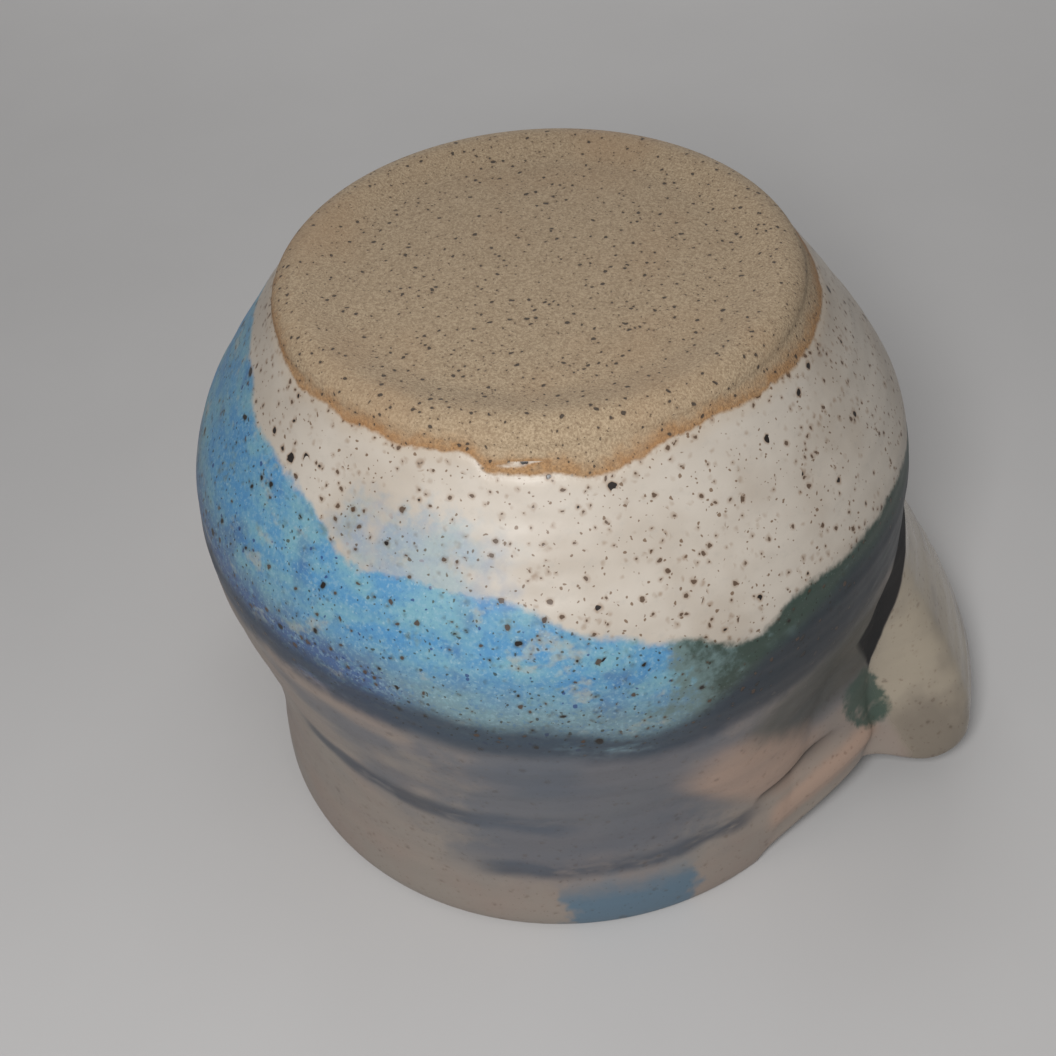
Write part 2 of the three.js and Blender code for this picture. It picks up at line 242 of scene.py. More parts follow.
TONGUE_HALF = (5.5, 0.42)
TONGUE_SLOPE = 0.03
TONGUE_REACH = 2.3
STROKES = (                      # start, end, level, slope, width
    (-60, 2, 34, -0.05, 3.4), (-22, 36, 18, 0.02, 3.0), (104, 168, 36, 0.04, 3.4), (-172, -96, 30, -0.03, 3.0),
)
# On the wall near the spout: degrees from its middle, height above the floor before the spout is drawn out
# painted shade under the belly beside the spout
UNDER_BELLY_SHADE_AT = (-37.0, 46.0)
UNDER_BELLY_SHADE_HALF = (20.0, 15.0)
DAB_AT = (-28.6, 24.0)
DAB_HALF = (4.4, 10.5)
FACE_TOP = 58.0
FACE_FLANK = 26.0
FACE_ROUND = 0.0385
# top of the painted shadow in the fold above the spout
FOLD_SHADOW_TOP = 62.0


def mesh_object(name, points, faces, fields=None):
    mesh = bpy.data.meshes.new(name)
    mesh.from_pydata([tuple(p) for p in np.asarray(points) * MM], [], faces)
    mesh.validate()
    for key, values in (fields or {}).items():
        mesh.attributes.new(key, "FLOAT", "POINT").data.foreach_set("value", np.asarray(values, np.float32).ravel())
    mesh.shade_smooth()
    made = bpy.data.objects.new(name, mesh)
    bpy.context.scene.collection.objects.link(made)
    return made


def ring_faces(rings, sides, first=0):
    faces = []
    for ring in range(rings - 1):
        for side in range(sides):
            a = first + ring * sides + side
            b = first + ring * sides + (side + 1) % sides
            faces.append((a, b, b + sides, a + sides))
    return faces


def drawn_spout(aside, below, radius, depth):
    """Draws the wall out into the spout: gives the new radius, degrees aside of it and height below the rim."""
    spread = np.abs(aside) * (1 + SPOUT_TAPER * below / SPOUT_DEPTH) * (1 + CHANNEL_NARROWING * depth)
    shoulder = 1 - smoothstep(SHOULDER_SPREAD, SPOUT_SPREAD, spread)
    channel = 1 - smoothstep(LIP_SPREAD, SHOULDER_SPREAD, spread)
    curl = np.clip(1 - below / LIP_CURL, 0, 1) ** 2
    lip_drop = LIP_DROP + (CORNER_DROP - LIP_DROP) * smoothstep(0, LIP_SAG_SPREAD, spread)
    drop = (SHOULDER_DROP * np.sqrt(shoulder) * (1 - channel) + lip_drop * channel) * curl
    pull = 1 - smoothstep(LIP_DROP, SPOUT_DEPTH, below + drop)
    push = (SHOULDER_REACH * shoulder + (SPOUT_REACH - SHOULDER_REACH) * channel) * pull
    pinch = 1 - SPOUT_PINCH * shoulder * (1 - channel / 2) * pull
    return radius + push, aside * pinch, below + drop


def thrown_body():
    sides = 512
    ring_outer = FOOT_RADIUS - FOOT_EASE
    dish_edge = FOOT_RADIUS - FOOT_ROUND
    base_r = np.linspace(0.4, ring_outer, 60)
    base = np.stack([base_r, np.zeros_like(base_r)], 1)
    foot_edge = arc(0, 0, 1, -90, 0, 14) * (FOOT_EASE, FOOT_ROUND) + (ring_outer, FOOT_ROUND)
    for part in (base, foot_edge):
        part[:, 1] += DISH_DEPTH * (1 - smoothstep(dish_edge - DISH_SLOPE, dish_edge, part[:, 0]))
    rim_inner = RIM_RADIUS - RIM_THICKNESS
    line = np.concatenate([
        base[:-1],
        foot_edge[:-1],
        WALL_LINE[:-1],
        arc(RIM_RADIUS - RIM_ROUND, HEIGHT - RIM_ROUND, RIM_ROUND, 0, 90, 9),
        arc(rim_inner + RIM_ROUND, HEIGHT - RIM_ROUND, RIM_ROUND, 90, 180, 9),
        inner_line(),
    ])
    outside = len(base) - 1 + len(foot_edge) - 1 + len(WALL_LINE) - 1
    theta = np.linspace(0, 2 * math.pi, sides, endpoint=False)
    degrees = np.degrees(theta) + PHOTO_TURN
    radius = np.repeat(line[:, :1], sides, 1)
    up = np.repeat(line[:, 1:], sides, 1)
    high = HEIGHT - up
    outer = (np.arange(len(line)) < outside).astype(float)[:, None]
    on_wall = outer * between((2, 14, HEIGHT - 12, HEIGHT - 3), up)

    # How far a point lies inside the glaze, inside the colour band, and from the dark line, in millimetres
    ragged = 0.45 * wobble(theta, 11, 9, 40) + 0.08 * wobble(theta, 12, 41, 110, 0.2)
    coat = CLAY_EDGE(degrees) + ragged - high
    relative = (degrees + 180) % 360 - 180
    tongue = np.exp(-((relative - TONGUE_AT[0]) / TONGUE_HALF[0]) ** 2)
    tongue = tongue * np.exp(-((high - TONGUE_AT[1] - TONGUE_SLOPE * relative) / TONGUE_HALF[1]) ** 2)
    inward = np.clip(ring_outer - line[:, :1], 0, None)
    coat = np.where(outer > 0, coat + TONGUE_REACH * tongue - inward * (line[:, 1:] < FOOT_ROUND), 5.0)
    band = BLUE_EDGE(degrees) + 0.8 * wobble(theta, 21, 6, 30) - high
    line_gap = high - DARK_LINE(degrees) - 0.6 * wobble(theta, 31, 4, 22)
    green = between(GREEN_SPAN, relative)
    base_top = (np.arange(len(line)) < len(base) - 1).astype(float)[:, None] * np.ones((1, sides))

    # Hand-made unevenness: not quite round, throwing rings that climb as a spiral, soft finger dents in the neck
    uneven = 0.22 * np.sin(2 * theta + 0.8) + 0.14 * np.sin(3 * theta + 2.1) + 0.08 * wobble(theta, 41, 5, 11)
    rings = RING_HEIGHTS[0] * np.sin(2 * math.pi * up / RING_PITCHES[0] + theta)
    rings = rings + RING_HEIGHTS[1] * np.sin(2 * math.pi * up / RING_PITCHES[1] - theta + 1)
    dents = DENT_DEPTH * np.sin(4 * theta + 0.09 * up) * smoothstep(60, 76, up)
    glaze_step = outer * (1 - base_top) * GLAZE * smoothstep(-0.3, 0.9, coat)
    radius = radius + on_wall * (uneven + rings + dents) + glaze_step
    worn = between((24, 30, 33, ring_outer), radius)
    up = up + base_top * FOOT_WEAR * wobble(theta, 51, 2, 6) * worn

    # Beside the spout: a smeared lobe, a finger's crease under it, and the rolled edge of the rim
    aside = (np.degrees(theta) - SPOUT_AZIMUTH + 180) % 360 - 180
    across = np.radians(aside) * NECK_RADIUS
    from_lobe, over_floor = across - LOBE_AT[0], high - LOBE_AT[1]
    along_lobe = (from_lobe * LOBE_SLANT[0] - over_floor * LOBE_SLANT[1]) / LOBE_HALF[0]
    over_lobe = (from_lobe * LOBE_SLANT[1] + over_floor * LOBE_SLANT[0]) / LOBE_HALF[1]
    lobe = np.exp(-np.abs(along_lobe) ** 3 - np.abs(over_lobe) ** 3)
    off_crease = high - CREASE_AT[1] - CREASE_SLOPE * (across - CREASE_AT[0])
    crease = np.exp(-(off_crease / CREASE_WIDTH) ** 2) * between(CREASE_SPAN, across)
    roll = np.exp(-((high - ROLL_HIGH) / ROLL_WIDTH) ** 2) * between(ROLL_SPAN, across)
    radius = radius + outer * (LOBE_RISE * lobe - CREASE_DEPTH * crease + ROLL_RISE * roll)

    depth = np.clip((wall_radius(HEIGHT - high) - line[:, :1]) / RIM_THICKNESS, 0, 1)
    far, turned, below = drawn_spout(aside, high, radius, depth)
    bearing = np.radians(SPOUT_AZIMUTH + turned)
    x = far * np.cos(bearing)
    y = far * np.sin(bearing)
    corner = np.exp(-((np.abs(aside) - CORNER_ASIDE) / CORNER_HALF) ** 2)
    corner = corner * np.clip(1 - high / CORNER_HEIGHT, 0, 1) ** 2
    z = HEIGHT - up + below - high - CORNER_SAG * corner

    points = np.stack([x + AXIS_X, y, z], -1).reshape(-1, 3)
    count = len(points)
    caps = np.array([[AXIS_X, 0, HEIGHT - line[0, 1]], [AXIS_X, 0, HEIGHT - line[-1, 1]]])
    faces = [tuple(reversed(f)) for f in ring_faces(len(line), sides)]
    last = (len(line) - 1) * sides
    for side in range(sides):
        following = (side + 1) % sides
        faces.append((count, side, following))
        faces.append((count + 1, last + following, last + side))

    # The height is out of reach behind, so that no mark of the spout shows where "aside" turns over
    near_spout = np.where(np.abs(aside) > 100, 999, high)

    def whole(values, cap):
        return np.concatenate([np.broadcast_to(values, x.shape).ravel(), [cap, cap]])

    return mesh_object("pitcher_body", np.concatenate([points, caps]), faces, {
        "coat": whole(coat, -9), "band": whole(band, -9), "line_gap": whole(line_gap, 40), "green": whole(green, 0),
        "aside": whole(aside, 0), "below": whole(near_spout, HEIGHT), "lobes": whole(np.maximum(lobe, roll), 0),
        "crease": whole(crease, 0),
    })


def catmull_rom(points, count):
    """The centripetal curve through the points, as the CAD model draws it."""
    p = np.array(points, float)
    p = np.concatenate([[2 * p[0] - p[1]], p, [2 * p[-1] - p[-2]]])
    out = []
    spans = len(points) - 1
    for s in np.linspace(0, spans, count):
        i = min(int(s), spans - 1)
        w = s - i
        a, b, c, d = p[i:i + 4]
        d0, d1, d2 = (np.linalg.norm(v) ** 0.5 for v in (b - a, c - b, d - c))
        t1 = ((b - a) / d0 - (c - a) / (d0 + d1) + (c - b) / d1) * d1
        t2 = ((c - b) / d1 - (d - b) / (d1 + d2) + (d - c) / d2) * d1
        out.append((2 * w ** 3 - 3 * w ** 2 + 1) * b + (w ** 3 - 2 * w ** 2 + w) * t1
                   + (3 * w ** 2 - 2 * w ** 3) * c + (w ** 3 - w ** 2) * t2)
    return np.array(out)


def turned_over(points):
    """From the upright pitcher's millimetres to the frame's."""
    points = np.asarray(points, float)
    return np.stack([points[..., 0] + AXIS_X, -points[..., 1], HEIGHT - points[..., 2]], -1)


def strap_path(count):
    upper_root = NECK_PAD_UP + ROOT_ABOVE_PAD
    lower_root = BELLY_PAD_UP + ROOT_ABOVE_PAD
    crest = upper_root + HANDLE_CREST_RISE
    drop = crest - lower_root
    reach = NECK_RADIUS + HANDLE_REACH
    upper_wall, lower_wall = wall_radius(upper_root), wall_radius(lower_root)
    return catmull_rom([
        (upper_wall - ROOT_SINK, HANDLE_LEAN, upper_root - ROOT_SINK / 4),
        (upper_wall + HANDLE_REACH / 3, HANDLE_LEAN * 0.95, crest - 1),
        (reach - STRAP_THICKNESS / 2, HANDLE_LEAN * 0.85, crest - drop * 0.02),
        (reach, HANDLE_LEAN * 0.5, crest - drop * 0.24),
        (reach - HANDLE_REACH * 0.13, HANDLE_LEAN * 0.15, crest - drop * 0.5),
        (lower_wall + HANDLE_REACH * 0.38, -HANDLE_LEAN * 0.22, crest - drop * 0.77),
        (lower_wall - ROOT_SINK, -HANDLE_LEAN * 0.55, lower_root - ROOT_SINK / 2),
    ], count)


def handle_strap():
    stations, sides = 150, 96
    path = strap_path(stations)
    along = np.gradient(path, axis=0)
    along /= np.linalg.norm(along, axis=1)[:, None]
    angle = np.linspace(0, 2 * math.pi, sides, endpoint=False)
    across = np.sign(np.cos(angle)) * np.abs(np.cos(angle)) ** 0.7
    through = np.sign(np.sin(angle)) * np.abs(np.sin(angle)) ** 0.7
    groove = np.where(through > 0, THUMB_GROOVE * (1 - across ** 2) ** 2, 0)
    points = []
    for i, (centre, tangent) in enumerate(zip(path, along)):
        t = i / (stations - 1)
        sideways = np.array([0, 1, 0]) - tangent * tangent[1]
        sideways /= np.linalg.norm(sideways)
        outward = np.cross(tangent, sideways)
        twist = -HANDLE_TWIST * math.sin(math.pi * t) ** 2
        side = sideways * math.cos(twist) + outward * math.sin(twist)
        out = outward * math.cos(twist) - sideways * math.sin(twist)
        width = STRAP_WIDTH * (1 + (STRAP_FLARE - 1) * max(0, 1 - t * 4) ** 2)
        width *= 1 + 0.025 * math.sin(9 * t + 1) + 0.015 * math.sin(23 * t)
        thick = STRAP_THICKNESS * (1 + 0.03 * math.sin(11 * t + 2))
        points.append(centre + np.outer(across * width / 2, side) + np.outer(through * thick / 2 - groove, out))
    points = np.concatenate(points + [path[:1], path[-1:]])
    count = stations * sides
    faces = ring_faces(stations, sides)
    for side in range(sides):
        following = (side + 1) % sides
        faces.append((count, following, side))
        faces.append((count + 1, count - sides + side, count - sides + following))
    return mesh_object("handle_strap_pulled", turned_over(points), faces)


def pressed_pad(name, up, azimuth, half, rise, seed, collar):
    """Clay pressed onto the wall: a thin uneven edge, finger dents, and a skirt that runs up to the strap."""
    rings, spokes = 60, 180
    share = np.linspace(0.012, 1, rings)[:, None]
    angle = np.linspace(0, 2 * math.pi, spokes, endpoint=False)[None, :]
    edge = 1 + 0.05 * wobble(angle, seed, 2, 7)
    across = share * half[0] * edge * np.cos(angle)
    z = up + share * half[1] * edge * np.sin(angle)
    dome = np.sqrt(np.clip(1 - share ** 2, 0, 1))
    press = 0.35 * np.sin(across / 3.7 + seed) * np.sin(z / 3.1 + 2 * seed) * (1 - share ** 4)
    skirt = collar * np.exp(-((across / (half[0] * 0.5)) ** 2 + ((z - up - ROOT_ABOVE_PAD) / (half[1] * 0.62)) ** 2))
    lift = -PAD_SINK + (rise + PAD_SINK + press) * dome ** 0.8 + skirt
    a = azimuth + across / wall_radius(up)
    radius = wall_radius(z) + lift
    points = np.stack([radius * np.cos(a), radius * np.sin(a), z], -1).reshape(-1, 3)
    tip_radius = wall_radius(up) + lift[0, 0]
    tip = [tip_radius * math.cos(azimuth), tip_radius * math.sin(azimuth), up]
    back_radius = wall_radius(z[-1]) - PAD_BACK
    back = np.stack([back_radius * np.cos(a[-1]), back_radius * np.sin(a[-1]), z[-1]], -1)
    faces = ring_faces(rings + 1, spokes)
    count = len(points) + spokes
    faces += [(count, (side + 1) % spokes, side) for side in range(spokes)]
    faces = [tuple(reversed(f)) for f in faces]
    faces.append(tuple(reversed(range(count - spokes, count))))
    return mesh_object(name, turned_over(np.concatenate([points, back, [tip]])), faces)


class Nodes:
    """A material's node tree with short ways to add to it."""

    def __init__(self, name):
        self.material = bpy.data.materials.new(name)
        self.material.use_nodes = True
        self.tree = self.material.node_tree
        self.shader = self.tree.nodes["Principled BSDF"]

    def add(self, kind, inputs=(), **settings):
        made = self.tree.nodes.new(kind)
        for key, value in settings.items():
            setattr(made, key, value)
        for key, value in dict(inputs).items():
            self.put(made.inputs[key], value)
        return made

    def put(self, socket, value):
        if isinstance(value, bpy.types.NodeSocket):
            self.tree.links.new(value, socket)
        elif isinstance(value, tuple) and socket.type == "RGBA" and len(value) == 3:
            socket.default_value = (*value, 1)
        else:
            socket.default_value = value

    def math(self, operation, a, b=0.0):
        return self.add("ShaderNodeMath", {0: a, 1: b}, operation=operation).outputs[0]

    def plus(self, a, b):
        return self.math("ADD", a, b)

    def minus(self, a, b):
        return self.math("SUBTRACT", a, b)

    def times(self, a, b):
        return self.math("MULTIPLY", a, b)

    def smooth(self, value, low, high):
        made = self.add("ShaderNodeMapRange", {0: value, 1: low, 2: high}, interpolation_type="SMOOTHSTEP")
        return made.outputs[0]

    def mix(self, share, a, b, blend="MIX"):
        made = self.add("ShaderNodeMix", {0: share, 6: a, 7: b}, data_type="RGBA", blend_type=blend)
        return made.outputs[2]

    def field(self, name):
        return self.add("ShaderNodeAttribute", attribute_name=name).outputs["Fac"]

    def place(self, stretch=(1, 1, 1), shift=(0, 0, 0)):
        coordinates = self.add("ShaderNodeTexCoord").outputs["Object"]
        return self.add("ShaderNodeMapping", {"Vector": coordinates, "Scale": stretch, "Location": shift}).outputs[0]

    def noise(self, size_mm, detail=3.0, rough=0.55, stretch=(1, 1, 1), shift=(0, 0, 0), distortion=0.0):
        made = self.add("ShaderNodeTexNoise", {
            "Vector": self.place(stretch, shift), "Scale": 1 / (size_mm * MM), "Detail": detail, "Roughness": rough,
            "Distortion": distortion,
        })
        return made.outputs["Fac"]

    def specks(self, cell_mm, small_mm, large_mm, share, shift):
        """Spots scattered through the clay: (mask, softer mask around it)."""
        place = self.place(shift=shift)
        shaken = self.add("ShaderNodeTexNoise", {"Vector": place, "Scale": SHAKE_SCALE, "Detail": 1.0}).outputs["Color"]
        offset = self.add("ShaderNodeVectorMath", {0: shaken, 1: SHAKE}, operation="MULTIPLY").outputs[0]
        moved = self.add("ShaderNodeVectorMath", {0: place, 1: offset}, operation="ADD").outputs[0]
        cells = self.add("ShaderNodeTexVoronoi", {"Vector": moved, "Scale": 1 / (cell_mm * MM)})
        split = self.add("ShaderNodeSeparateColor", {0: cells.outputs["Color"]})
        spread = self.math("POWER", split.outputs[0], 2.2)
        size = self.plus(small_mm / cell_mm, self.times(spread, (large_mm - small_mm) / cell_mm))
        chosen = self.math("LESS_THAN", split.outputs[1], share)
        nearness = self.minus(size, cells.outputs["Distance"])
        hard = self.smooth(nearness, 0.0, 0.12 / cell_mm)
        soft = self.smooth(nearness, -0.45 / cell_mm, 0.2 / cell_mm)
        return self.times(hard, chosen), self.times(soft, chosen)

    def bump(self, height, distance_mm, strength=1.0, below=None):
        inputs = {"Height": height, "Distance": distance_mm * MM, "Strength": strength}
        if below is not None:
            inputs["Normal"] = below
        return self.add("ShaderNodeBump", inputs).outputs[0]

    def finish(self, **sockets):
        for key, value in sockets.items():
            self.put(self.shader.inputs[key.replace("_", " ")], value)
        return self.material


# Colours, linear; RUST, TINY_RUST and TOAST are multiplied onto what lies under them
WHITE = (0.485, 0.435, 0.375)
BONE = (0.41, 0.355, 0.295)
SKY = (0.07, 0.225, 0.41)
PALE_SKY = (0.15, 0.315, 0.385)
COBALT = (0.035, 0.075, 0.22)
BAND_GREY = (0.16, 0.235, 0.25)
BEIGE_BREAK = (0.31, 0.32, 0.285)
GREEN = (0.034, 0.056, 0.044)
TEAL = (0.12, 0.18, 0.178)
PALE_GREEN = (0.13, 0.18, 0.155)
SLATE = (0.024, 0.036, 0.058)
NECK_BEIGE = (0.28, 0.24, 0.205)
NECK_PINK = (0.285, 0.225, 0.19)
NECK_WASH = (0.088, 0.107, 0.138)
# painted shade under the belly beside the spout
UNDER_BELLY_SHADE = (0.045, 0.05, 0.044)
LOBE_PINK = (0.40, 0.275, 0.21)
RIM_BLUE = (0.068, 0.15, 0.222)
IRON = (0.012, 0.008, 0.006)
BROWN_IRON = (0.065, 0.034, 0.017)
RUST = (0.42, 0.25, 0.13)
CLAY = (0.27, 0.195, 0.12)
CLAY_PALE = (0.425, 0.325, 0.214)
CLAY_WARM = (0.32, 0.205, 0.115)
CREAM = (0.38, 0.325, 0.25)
CREAM_GREY = (0.22, 0.185, 0.145)
GREY_WHITE = (0.36, 0.33, 0.29)
WARM_WHITE = (0.40, 0.32, 0.235)
PALE_GRAIN = (0.24, 0.38, 0.45)
DEEP_GRAIN = (0.045, 0.15, 0.32)
CRYSTAL = (0.33, 0.46, 0.51)
COBALT_DOT = (0.015, 0.04, 0.15)
# painted shade deepening the dark line under the belly
SLATE_SHADE = (0.008, 0.012, 0.014)
# painted shadow of the belly in the fold above the spout
FOLD_SHADOW_BLACK = (0.007, 0.007, 0.008)
DAB_GREEN = (0.032, 0.07, 0.052)
# painted shade in the finger's crease
CREASE_SHADE = (0.05, 0.04, 0.035)
TINY_RUST = (0.3, 0.19, 0.11)
TOAST = (0.86, 0.6, 0.36)
CRUMB = (0.07, 0.046, 0.028)
PIT_HALO = (0.15, 0.09, 0.05)
PIT = (0.03, 0.024, 0.02)
HANDLE_PINK = (0.38, 0.27, 0.205)
HANDLE_SPECK = (0.16, 0.11, 0.07)
HANDLE_HALO = (0.15, 0.10, 0.06)
HANDLE_SMUDGE = (0.05, 0.035, 0.025)
FLOOR_TONE = (0.52, 0.51, 0.505)
FLOOR_PALE = (0.56, 0.55, 0.545)


def stroke(n, degrees, high, start, end, level, slope, width, seed):
    """A soft brush stroke along the wall, thinner to its ends, with dry streaks."""
    middle = (start + end) / 2
    along = n.minus(degrees, middle)
    ends = n.minus(1.0, n.math("POWER", n.math("ABSOLUTE", n.math("DIVIDE", along, (end - start) / 2)), 2.0))
    waver = n.times(n.minus(n.noise(14, 2, shift=(seed, 0, 0)), 0.5), 5.0)
    centre = n.plus(n.plus(level, n.times(along, slope)), waver)
    gap = n.math("ABSOLUTE", n.minus(high, centre))
    body = n.smooth(gap, width * 1.2, width * 0.3)
    streaks = n.smooth(n.noise(9, 3, 0.55, (1, 1, 2.5), (0, seed, 0)), 0.2, 0.5)
    return n.times(n.times(body, n.smooth(ends, 0.0, 0.5)), streaks)


def oval(n, aside, below, at, half, waver):
    """0 in the middle of an oval patch near the spout, 1 at its edge."""
    across = n.math("DIVIDE", n.plus(aside, n.plus(-at[0], waver)), half[0])
    down = n.math("DIVIDE", n.minus(below, at[1]), half[1])
    return n.plus(n.times(down, down), n.times(across, across))


def body_material():
    n = Nodes("speckled_glaze_and_clay")
    coat = n.field("coat")
    band = n.field("band")
    gap = n.field("line_gap")
    green = n.field("green")
    aside = n.field("aside")
    below = n.field("below")
    facing = n.add("ShaderNodeVectorRotate", {"Vector": n.place(), "Center": (AXIS_X * MM, 0, 0),
                                              "Angle": math.radians(PHOTO_TURN)}, rotation_type="Z_AXIS").outputs[0]
    facing = n.add("ShaderNodeSeparateXYZ", {0: facing})
    towards = n.minus(facing.outputs[0], AXIS_X * MM)
    degrees = n.times(n.math("ARCTAN2", facing.outputs[1], towards), 180 / math.pi)
    high = n.times(facing.outputs[2], 1 / MM)
    fine = n.minus(n.noise(1.6, 3, 0.65), 0.5)
    coarse = n.minus(n.noise(7, 3, 0.6, shift=(0.3, 0, 0)), 0.5)

    # White glaze, thinner and warmer near the foot
    white = n.mix(n.smooth(n.noise(16, 3), 0.35, 0.7), WHITE, BONE)
    white = n.mix(n.times(n.smooth(n.noise(2.2, 4, 0.65, (1, 1, 1.6)), 0.5, 0.8), 0.35), white, GREY_WHITE)
    white = n.mix(n.times(n.smooth(coat, 2.4, 0.0), 0.4), white, WARM_WHITE)

    # Blue band: brushed, with pale crystals, cobalt dots and breaks where the clay shows through
    streaks = n.noise(10, 3, 0.55, (1, 1, 1.8), (0, 0.2, 0))
    blue = n.mix(n.smooth(streaks, 0.38, 0.66), SKY, PALE_SKY)
    blue = n.mix(n.times(n.smooth(n.noise(11, 3, shift=(0.7, 0, 0)), 0.55, 0.7), 0.5), blue, COBALT)
    lower = n.plus(gap, n.times(coarse, 9.0))
    pooled = n.times(n.smooth(lower, 13.0, 6.0), n.smooth(degrees, -18.0, -32.0))
    pooled = n.times(pooled, n.smooth(degrees, -168.0, -120.0))
    blue = n.mix(n.times(n.smooth(lower, 17.0, 5.0), 0.85), blue, BAND_GREY)
    blue = n.mix(n.times(pooled, 0.8), blue, COBALT)
    breaks = n.smooth(n.plus(n.noise(9, 3, 0.6, (1, 1, 1.8), (0, 0, 0.4)), n.times(fine, 0.25)), 0.57, 0.69)
    blue = n.mix(n.times(breaks, 0.7), blue, BEIGE_BREAK)
    blue = n.mix(n.times(n.smooth(fine, 0.0, 0.2), 0.35), blue, PALE_SKY)
    grainy = n.noise(0.75, 2, 0.6, shift=(0.15, 0, 0))
    blue = n.mix(n.times(n.smooth(grainy, 0.5, 0.68), 0.4), blue, PALE_GRAIN)
    blue = n.mix(n.times(n.smooth(grainy, 0.46, 0.3), 0.4), blue, DEEP_GRAIN)
    crystals, _ = n.specks(0.6, 0.1, 0.27, 0.6, (0.11, 0, 0))
    blue = n.mix(n.times(crystals, 0.4), blue, CRYSTAL)
    dots, _ = n.specks(2.1, 0.2, 0.5, 0.5, (0, 0.13, 0))
    blue = n.mix(n.times(dots, 0.8), blue, COBALT_DOT)

    # Green part of the band
    greens = n.mix(n.times(n.smooth(n.noise(5, 4, 0.6), 0.5, 0.8), 0.5), GREEN, TEAL)
    greens = n.mix(n.times(crystals, 0.3), greens, PALE_GREEN)
    grains = n.plus(n.times(coarse, 1.1), n.times(fine, 0.7))
    mottled = n.plus(green, grains)
    colours = n.mix(n.smooth(mottled, 0.1, 0.45), blue, TEAL)
    colours = n.mix(n.smooth(mottled, 0.4, 0.8), colours, greens)

    edge = n.plus(band, n.plus(n.times(coarse, 3.2), n.times(fine, 1.6)))
    patch_side = n.math("ABSOLUTE", n.plus(n.plus(degrees, 23.0), n.times(coarse, 30.0)))
    patch_top = n.plus(band, n.plus(n.times(coarse, 9.0), n.times(fine, 6.0)))
    pale_patch = n.times(n.smooth(patch_side, 17.0, 6.0), n.smooth(patch_top, -10.5, -5.0))
    over = n.math("MAXIMUM", n.smooth(edge, -0.5, 1.1), n.times(pale_patch, 0.5))
    glaze = n.mix(over, white, colours)

    # Neck: grey-beige with blue-grey washes, under a dark brushed line at the belly's widest
    under = n.smooth(n.plus(gap, n.times(coarse, 3.0)), 1.0, -4.5)
    neck = n.mix(n.smooth(n.noise(22, 3, shift=(0, 0.5, 0)), 0.35, 0.65), NECK_BEIGE, NECK_PINK)
    brushed = n.noise(24, 2, 0.45, (1, 1, 1.8), (0.9, 0, 0))
    fade = n.smooth(high, 14.0, 40.0)
    neck = n.mix(n.times(n.smooth(brushed, 0.42, 0.68), n.times(fade, 0.7)), neck, NECK_WASH)
    for seed, (start, end, level, slope, width) in enumerate(STROKES):
        painted = stroke(n, degrees, high, start, end, level, slope, width, 0.21 * seed)
        neck = n.mix(n.times(painted, 0.8), neck, SLATE)
    wash_side = n.math("ABSOLUTE", n.minus(degrees, n.times(coarse, 30.0)))
    wash_top = n.plus(high, n.times(coarse, 12.0))
    wash = n.times(n.smooth(wash_side, 34.0, 14.0), n.smooth(wash_top, 10.0, 24.0))
    neck = n.mix(n.times(wash, 0.75), neck, NECK_WASH)
    rim_side = n.math("ABSOLUTE", n.plus(degrees, n.minus(n.times(coarse, 14.0), 8.0)))
    rim_top = n.plus(high, n.times(coarse, 8.0))
    rim_dab = n.times(n.smooth(rim_side, 13.5, 10.0), n.smooth(rim_top, 17.0, 8.0))
    neck = n.mix(n.times(rim_dab, 0.85), neck, RIM_BLUE)
    # Painted shade: a dark olive-grey patch under the belly, beside the spout's near flank
    under_belly_shade = oval(n, aside, below, UNDER_BELLY_SHADE_AT, UNDER_BELLY_SHADE_HALF, n.times(coarse, 8.0))
    neck = n.mix(n.times(n.smooth(under_belly_shade, 1.3, 0.4), 0.85), neck, UNDER_BELLY_SHADE)
    lobes = n.plus(n.field("lobes"), n.times(coarse, 0.5))
    neck = n.mix(n.times(n.smooth(lobes, 0.15, 0.85), 0.9), neck, LOBE_PINK)
    glaze = n.mix(under, glaze, neck)
    apart = n.math("ABSOLUTE", n.plus(gap, n.times(coarse, 4.0)))
    # Partly painted shade: the dark line is the glaze's own paint, but from 14 to 160 degrees round the pot it is
    # widened and darkened to stand for the shade under the belly
    shade_widening = n.times(n.smooth(degrees, 14.0, 34.0), n.smooth(degrees, 160.0, 110.0))
    dark = n.smooth(n.minus(apart, n.times(shade_widening, 3.8)), 6.5, 1.5)
    dark = n.times(dark, n.smooth(n.noise(13, 4, 0.6, (1, 1, 2), (0, 0.8, 0)), 0.2, 0.45))
    glaze = n.mix(n.times(dark, 0.9), glaze, SLATE)
    glaze = n.mix(n.times(n.times(dark, shade_widening), 0.6), glaze, SLATE_SHADE)

    # Spout: a cream face, with a black painted shadow of the belly in the fold above it and a green dab at its near
    # flank
    near = n.math("MINIMUM", aside, 0.0)
    beyond = n.times(n.math("MAXIMUM", n.plus(n.math("MINIMUM", aside, 10.0), 12.0), 0.0), 0.35)
    crown = n.minus(n.minus(FACE_TOP, beyond), n.times(n.times(near, near), FACE_ROUND))
    waver = n.plus(0.8, n.times(n.smooth(aside, -5.0, 15.0), 7.0))
    inward = n.plus(n.minus(crown, below), n.times(coarse, waver))
    flank = n.plus(n.plus(FACE_FLANK, near), n.times(coarse, 1.5))
    face = n.times(n.smooth(inward, -0.8, 0.8), n.smooth(flank, -1.2, 0.8))
    face = n.times(face, n.smooth(aside, 72.0, 60.0))
    # The cream turns greyer towards the lip: painted shade on the lip's curl
    cloud = n.plus(n.noise(15, 3, shift=(0, 0.4, 0)), n.times(n.smooth(below, 26.0, 8.0), 0.25))
    cream = n.mix(n.smooth(cloud, 0.42, 0.78), CREAM, CREAM_GREY)
    glaze = n.mix(face, glaze, cream)
